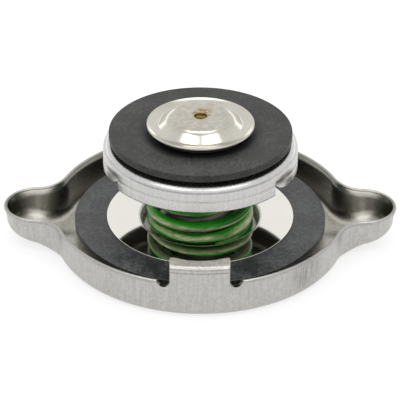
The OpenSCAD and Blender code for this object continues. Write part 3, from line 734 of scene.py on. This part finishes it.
gasket = {"bore": 12.65, "radius": 25.6, "low": 3.9, "high": 5.5, "seatRadius": 19.15, "seat": 5.3,
          "soft": 0.16}
turnedPiece("upperGasket", "seal_carrier", "upper_gasket", gasketRubber, gasket,
            "bore low, radius low, radius high, seatRadius high, seatRadius seat, bore seat")

retainer = {"hole": 2.55, "floor": 2.55, "well": 11.9, "round": 0.7, "top": 5.7, "radius": 19.1,
            "sheet": 0.4, "lip": 0.06, "hold": 0.1, "hazeTo": 12.9}


def retainerPath(s):
    # well floor, rounded corner, upright wall, rounded edge and flat plate, with points that hold it level
    wellIn = s["well"] - s["round"]
    wellOut = s["well"] + s["round"]
    hold = s["hold"]
    return np.concatenate([[(s["hole"], s["floor"]), (wellIn - hold, s["floor"])],
                           arcPath((wellIn, s["floor"] + s["round"]), s["round"], -90, 0, 12),
                           arcPath((wellOut, s["top"] - s["round"]), s["round"], 180, 90, 12),
                           [(wellOut + hold, s["top"]), (s["hazeTo"] + hold, s["top"]),
                            (s["radius"] - hold, s["top"]), (s["radius"] - s["lip"], s["top"])]])


plate = turned(sheetLoop(retainerPath(retainer), retainer["sheet"], retainer["lip"]))
haze = smoothStep((retainer["hazeTo"] - np.hypot(plate[..., 0], plate[..., 1])) / retainer["round"])
makePiece("gasketRetainer", "seal_carrier", "gasket_retainer", plateSteel, [plate],
          {"haze": haze})

can = {"hole": 2.55, "floor": 3.05, "radius": 6.4, "sheet": 0.5, "round": 0.5, "top": 10.25, "mouth": 4.45,
       "lip": 0.06}


def canPath(s):
    # floor, rounded corner, upright wall, rounded shoulder and turned-in mouth
    inner = s["radius"] - s["round"]
    return np.concatenate([[(s["hole"], s["floor"])],
                           arcPath((inner, s["floor"] + s["round"]), s["round"], -90, 0, 8),
                           arcPath((inner, s["top"] - s["round"]), s["round"], 0, 90, 8),
                           [(s["mouth"], s["top"])]])


bentPiece("guideCan", "seal_carrier", "guide_can", darkSteel, can, canPath(can))

rivet = {"axis": 0, "head": 5.0, "headLow": 0.1, "headHigh": 0.65, "shank": 2.5, "clenchLow": 3.05,
         "clench": 4.0, "clenchHigh": 4.05, "soft": [0, 0.2, 0.05, 0.02, 0.02, 0.05, 0.3, 0]}
turnedPiece("centreRivet", "seal_carrier", "centre_rivet", darkSteel, rivet,
            "axis headLow, head headLow, head headHigh, shank headHigh, shank clenchLow, clench clenchLow, "
            "clench clenchHigh, axis clenchHigh")


def coil(s):
    # ring of wire carried up a helix: one closed turn at each end, easing to an even pitch between,
    # with both ends pinched shut
    turns = s["turns"]
    closed = s["wire"] + s["gap"]
    rise = s["high"] - s["low"] - s["wire"] - 2 * s["gap"]
    pitch = (rise - 3 * closed) / (turns - 3)

    def climb(m):
        # height after m turns: closed for one turn, easing as s^2 over the next, then at the even pitch
        ease = np.where(m <= 1, 0, np.where(m <= 2, (m - 1) ** 2 / 2, m - 1.5))
        return closed * m + (pitch - closed) * ease

    n = np.linspace(0, turns, int(turns * s["perTurn"]) + 1)
    n = np.concatenate([[0], n, [turns]])[:, None]
    z = np.where(n > turns / 2, 2 * climb(np.array(turns / 2)) - climb(turns - n), climb(n))
    z = z + s["low"] + s["gap"] + s["wire"] / 2
    a = np.radians(s["start"]) + 2 * np.pi * n
    b = np.linspace(0, 2 * np.pi, s["sides"] + 1)[None]
    thick = np.full(len(n), s["wire"] / 2)[:, None]
    thick[[0, -1]] = 0
    r = (s["diameter"] - s["wire"]) / 2 + thick * np.cos(b)
    return np.stack([r * np.cos(a), r * np.sin(a), z + thick * np.sin(b)], -1)


mainSpring = {"diameter": 21.7, "wire": 2.1, "turns": 6.3, "low": 2.55, "high": 23.2, "gap": 0.05,
              "start": -72.0, "travel": 5.0, "sides": 26, "perTurn": 72}
spring = makePiece("pressureSpring", "seal_carrier", "pressure_spring", springPaint,
                   [coil(mainSpring)])
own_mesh(spring)


# Pressure valve

cup = {"bore": 4.45, "top": 23.8, "sheet": 0.6, "raised": 15.3, "slope": 1.1, "shelf": 22.9, "radius": 19.6,
       "shoulder": 1.5, "foot": 17.6, "groove": 0.05, "grooveHeight": 2.1, "grooveWidth": 1.3, "lip": 0.22,
       "turn": 86.5, "tabWays": (1, 1, -1), "tabTip": 1.6, "tabEnd": 2.55, "tabRoot": 5.5, "tabRound": 2.9,
       "tabPush": 1.5, "tabHeight": 3.3, "tabBack": 0.1, "shade": 0.95, "shadeDepth": 2.6,
       "innerCut": 0.6, "hold": 0.1, "stations": {"tip": 16, "gap": 6, "root": 18, "plain": 30}}


def cupGrid(s):
    # cup outline carried round Z; under a cut in its skirt each tab is pushed in by push u^2, with u going
    # from 0 at its root to 1 at its tip, where its foot rises to the cut as a quarter ellipse; between the
    # tip and the gap's end the skirt is open; a way of 1 or -1 says to which side the tip points
    radius = s["radius"]
    tip = s["tabTip"] / radius
    gapEnd = s["tabEnd"] / radius
    root = s["tabRoot"] / radius
    close = 1e-5
    parts = len(s["tabWays"])
    n = s["stations"]
    quarter = np.concatenate([(tip - close) * np.sin(np.linspace(0, np.pi / 2, n["tip"])),
                              np.linspace(tip + close, gapEnd - close, n["gap"]),
                              np.linspace(gapEnd + close, root, n["root"]),
                              np.linspace(root, np.pi / parts, n["plain"])[1:]])
    part = np.concatenate([-quarter[:0:-1], quarter])[:-1]
    a = np.concatenate([part + 2 * np.pi * k / parts for k in range(parts)])
    local = np.concatenate([part * way for way in s["tabWays"]])
    a = np.concatenate([a, a[:1] + 2 * np.pi])[:, None] + np.radians(s["turn"])
    local = np.concatenate([local, local[:1]])[:, None]
    u = np.clip((local + root) / (tip + root), 0, 1)
    push = np.where(local > tip, 0, s["tabPush"] * u ** 2)
    cut = s["foot"] + s["tabHeight"]
    plainLow = s["foot"] + s["lip"]
    past = np.clip(1 - (tip - local) * radius / s["tabRound"], 0, 1)
    low = np.where(local > gapEnd, plainLow, plainLow + (cut - plainLow) * (1 - np.sqrt(1 - past ** 2)))

    def grooved(z):
        # the skirt's radius, less a shallow groove round it
        away = np.abs(z - s["foot"] - s["grooveHeight"]) / (s["grooveWidth"] / 2)
        return radius - s["groove"] * (1 - smoothStep(away))

    step = np.linspace(0, 1, 18)
    slope = np.stack([s["raised"] + s["slope"] * step,
                      s["top"] - (s["top"] - s["shelf"]) * smoothStep(step)], 1)
    bendR = radius - s["shoulder"]
    bendZ = s["shelf"] - s["shoulder"]
    flat = [(r, s["top"]) for r in (s["bore"], s["bore"] + s["hold"], s["raised"] - 2 * s["hold"])]
    crown = np.concatenate([flat, slope, arcPath((bendR, bendZ), s["shoulder"], 90, 0, 18)])
    under = beside(crown, s["sheet"])
    still = 0 * a
    aboveCut = np.array([0.4, 0.8, 0.97, 1])
    belowCut = np.concatenate([[0, 0.01], np.linspace(0.03, 1, 24)])

    def skirt(level, inset):
        # rows down the plain skirt to the level of the cut and on down the tab
        upper = still + bendZ + (level - bendZ) * aboveCut
        lower = level + (low - level) * belowCut
        inwards = push * (1 - s["tabBack"] * belowCut ** 2)
        return (np.concatenate([grooved(upper), grooved(lower) - inwards], 1) - inset,
                np.concatenate([upper, lower], 1))

    outR, outZ = skirt(cut, 0)
    inR, inZ = skirt(cut + s["innerCut"] * (bendZ - cut), s["sheet"])
    phi = np.linspace(0, -np.pi, 9)[None, 1:-1]
    middle = (outR[:, -1:] + inR[:, -1:]) / 2
    edgeR = middle + (outR[:, -1:] - middle) * np.cos(phi)
    edgeZ = low + s["lip"] * np.sin(phi)
    fullR = np.concatenate([still + crown[None, :, 0], outR, edgeR, inR[:, ::-1],
                            still + under[None, ::-1, 0]], 1)
    fullZ = np.concatenate([still + crown[None, :, 1], outZ, edgeZ, inZ[:, ::-1],
                            still + under[None, ::-1, 1]], 1)
    grid = np.stack([fullR * np.cos(a), fullR * np.sin(a), fullZ], -1)
    rows = outR.shape[1]
    inner = np.concatenate([np.zeros(len(crown) + rows), np.linspace(0, 1, phi.size),
                            np.ones(rows + len(under)), [0]])
    below = cut - outZ[:, len(aboveCut):]
    # painted shade on each pushed-in tab just below the cut, deepest where the tab is pushed in most
    dark = np.zeros((len(a), len(inner)))
    dark[:, len(crown) + len(aboveCut):len(crown) + rows] = (
        s["shade"] * smoothStep(2 * push / s["tabPush"]) * smoothStep(2 - 2 * below / s["shadeDepth"]))
    return np.concatenate([grid, grid[:, :1]], 1), np.tile(inner, len(a)), dark


cupSkin, cupInner, cupShade = cupGrid(cup)
makePiece("valveCup", "pressure_valve", "valve_cup", cupSteel, [cupSkin],
          {"inner": cupInner, "wearAndShade": cupShade})

bush = {"bore": 1.3, "top": 24.6, "head": 5.3, "headLow": 23.8, "radius": 4.4, "flareHigh": 9.95,
        "flare": 5.7, "foot": 9.35, "well": 3.4, "seat": 23.2, "soft": 0.08}
turnedPiece("guideBush", "pressure_valve", "guide_bush", darkSteel, bush,
            "bore top, bore seat, well seat, well foot, flare foot, flare flareHigh, radius flareHigh, "
            "radius headLow, head headLow, head top")

seal = {"bore": 7.6, "low": 23.8, "radius": 18.4, "high": 25.3, "lipFoot": 9.4, "lipTop": 9.2,
        "lipHigh": 26.1, "soft": 0.2}
turnedPiece("lowerSeal", "pressure_valve", "lower_seal", sealRubber, seal,
            "bore low, radius low, radius high, lipFoot high, lipTop lipHigh, bore lipHigh")


# Vacuum valve

disc = {"hole": 1.3, "top": 28.45, "flat": 5.3, "round": 2.7, "fall": 42.0, "valleyZ": 26.55,
        "valleyRound": 0.3, "radius": 10.85, "brim": 0.47, "sheet": 0.4, "lip": 0.05,
        "hold": (0.05, 0.12, 0.3)}


def discPath(s):
    # flat top, round shoulder, straight flank, hollow arc and a brim that rises as s^2
    across = [*(s["hole"] + x for x in s["hold"]), s["flat"] - s["hold"][-1]]
    top = np.array([(r, s["top"]) for r in across])
    brow = arcPath((s["flat"], s["top"] - s["round"]), s["round"], 90, 90 - s["fall"], 24)
    fall = math.radians(s["fall"])
    low = s["valleyZ"] + s["valleyRound"] * (1 - math.cos(fall))
    foot = np.array([brow[-1, 0] + (brow[-1, 1] - low) / math.tan(fall), low])
    hollow = foot + s["valleyRound"] * np.array([math.sin(fall), math.cos(fall)])
    valley = arcPath(hollow, s["valleyRound"], 270 - s["fall"], 270, 12)
    step = np.linspace(0, 1, 16)[1:, None]
    flank = brow[-1] + (foot - brow[-1]) * step[:-1]
    slope = 2 * s["brim"] / (s["radius"] - hollow[0])
    edge = s["radius"] - s["sheet"] * slope / math.hypot(1, slope)
    brim = np.concatenate([hollow[0] + (edge - hollow[0]) * step, s["valleyZ"] + s["brim"] * step ** 2], 1)
    return np.concatenate([top, brow, flank, valley, brim])


bentPiece("vacuumDisc", "vacuum_valve", "vacuum_disc", discSteel, disc, discPath(disc))

stem = {"axis": 0, "foot": 2.0, "footLow": 12.8, "keeper": 13.4, "radius": 1.25, "collar": 2.4,
        "collarLow": 27.35, "collarHigh": 28.05, "tip": 28.15,
        "soft": [0, 0.1, 0.05, 0.02, 0.02, 0.05, 0.05, 0.02, 0.04, 0], "stations": 96}
turnedPiece("vacuumStem", "vacuum_valve", "vacuum_stem", stemBrass, stem,
            "axis footLow, foot footLow, foot keeper, radius keeper, radius collarLow, collar collarLow, "
            "collar collarHigh, radius collarHigh, radius tip, axis tip")

keeper = {"hole": 1.3, "radius": 3.0, "low": 13.4, "high": 14.0, "soft": 0.08, "stations": 96}
turnedPiece("vacuumKeeper", "vacuum_valve", "vacuum_keeper", darkSteel, keeper,
            "hole low, radius low, radius high, hole high")

smallSpring = {"diameter": 5.9, "wire": 0.45, "turns": 7.0, "low": 14.0, "high": 23.2, "gap": 0.05,
               "start": 0.0, "travel": 2.0, "sides": 12, "perTurn": 40}
vacuumSpring = makePiece("vacuumSpring", "pressure_valve", "vacuum_spring", darkSteel,
                         [coil(smallSpring)])
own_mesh(vacuumSpring)
print("pieces made")


# Floor, light and camera

floorLook = {"size": 3.0, "gap": 2e-5, "colour": 0.3, "rough": 0.9, "glow": 0.72}
skyLook = {"back": [(0.0, 0.78), (0.12, 0.78), (0.34, 1.0), (0.55, 1.0), (0.8, 0.9)],
           "front": [(0.0, 0.45), (0.25, 0.45), (0.4, 1.1), (0.75, 1.1), (0.92, 0.9)],
           "frontFrom": -0.3, "backFrom": -0.05}
lamps = {"leftTop": {"place": (-0.265, -0.25, 0.72), "size": (0.46, 0.26), "power": 0.7},
         "rightTop": {"place": (0.265, -0.25, 0.72), "size": (0.46, 0.26), "power": 0.7},
         "overTop": {"place": (0.0, 0.2, 0.72), "size": (0.42, 0.24), "power": 0.6},
         "leftBack": {"place": (-0.45, 0.75, 0.2), "size": (0.7, 0.13), "power": 0.33},
         "rightBack": {"place": (0.45, 0.75, 0.2), "size": (0.7, 0.13), "power": 0.33}}


def makeFloor(look):
    # square sheet a small gap below the cap's flat face, which glows for the camera and in reflections
    h = look["size"] / 2
    z = -look["gap"]
    mesh = bpy.data.meshes.new("studioFloor")
    mesh.from_pydata([(-h, -h, z), (h, -h, z), (h, h, z), (-h, h, z)], [], [(0, 1, 2, 3)])
    floor = bpy.data.objects.new("studioFloor", mesh)
    bpy.context.scene.collection.objects.link(floor)
    material, tree, shader = newFinish("floorPaper", 0.0, (look["colour"],) * 3, look["rough"])
    shader.inputs["Specular IOR Level"].default_value = 0
    shader.inputs["Emission Color"].default_value = (1, 1, 1, 1)
    rays = [addNode(tree, "LightPath", {}, kind) for kind in ("Is Camera Ray", "Is Glossy Ray")]
    seen = combine(tree, "MAXIMUM", *rays)
    tree.links.new(combine(tree, "MULTIPLY", seen, look["glow"]), shader.inputs["Emission Strength"])
    mesh.materials.append(material)


def makeSky(look):
    # white to the camera; for the object a grey that goes with the height of the direction, by one row of
    # (height, tone) stops behind the cap and another in front of it, blended between two values of Y
    world = bpy.data.worlds.new("studio")
    bpy.context.scene.world = world
    world.use_nodes = True
    tree = world.node_tree
    background = tree.nodes["Background"]
    way = addNode(tree, "TexCoord", {}, "Generated")
    y, z = (addNode(tree, "SeparateXYZ", {"Vector": way}, axis) for axis in "YZ")

    def toned(stops):
        # grey on the straight line between the stops on either side of the height
        return tint(tree, z, [(height, (tone,) * 3) for height, tone in stops])

    ahead = spread(tree, y, look["frontFrom"], look["backFrom"], 1, 0)
    tone = blendColour(tree, ahead, toned(look["back"]), toned(look["front"]))
    seen = addNode(tree, "LightPath", {}, "Is Camera Ray")
    tree.links.new(blendColour(tree, seen, tone, (1.0, 1.0, 1.0)), background.inputs["Color"])


def makeLamps(look):
    # rectangles of light that face the origin
    for name, lamp in look.items():
        light = bpy.data.lights.new(name, "AREA")
        light.shape = "RECTANGLE"
        light.size, light.size_y = lamp["size"]
        light.energy = lamp["power"]
        holder = bpy.data.objects.new(name, light)
        bpy.context.scene.collection.objects.link(holder)
        holder.location = lamp["place"]
        aim = -holder.location.normalized()
        holder.rotation_euler = aim.to_track_quat("-Z", "Y").to_euler()


photoCamera = {"distance": 432.8, "elevation": 30.784, "target": (-0.042, 0.0, 8.973), "lens": 190.94,
               "roll": 0.306}


def makeCamera(look):
    # stands at the distance and elevation fitted to the photograph, looking along +Y
    e = math.radians(look["elevation"])
    data = bpy.data.cameras.new("photoCamera")
    data.lens = look["lens"]
    data.sensor_width = 36
    data.clip_start = 0.01
    data.clip_end = 20
    camera = bpy.data.objects.new("photoCamera", data)
    bpy.context.scene.collection.objects.link(camera)
    x, y, z = look["target"]
    back = look["distance"] * math.cos(e)
    up = look["distance"] * math.sin(e)
    camera.location = (x * mm, (y - back) * mm, (z + up) * mm)
    turn = Matrix.Rotation(math.pi / 2 - e, 4, "X") @ Matrix.Rotation(math.radians(look["roll"]), 4, "Z")
    camera.rotation_euler = turn.to_euler()
    bpy.context.scene.camera = camera


makeFloor(floorLook)
makeSky(skyLook)
makeLamps(lamps)
makeCamera(photoCamera)
bpy.context.scene.view_settings.view_transform = "Standard"
print("stage made")
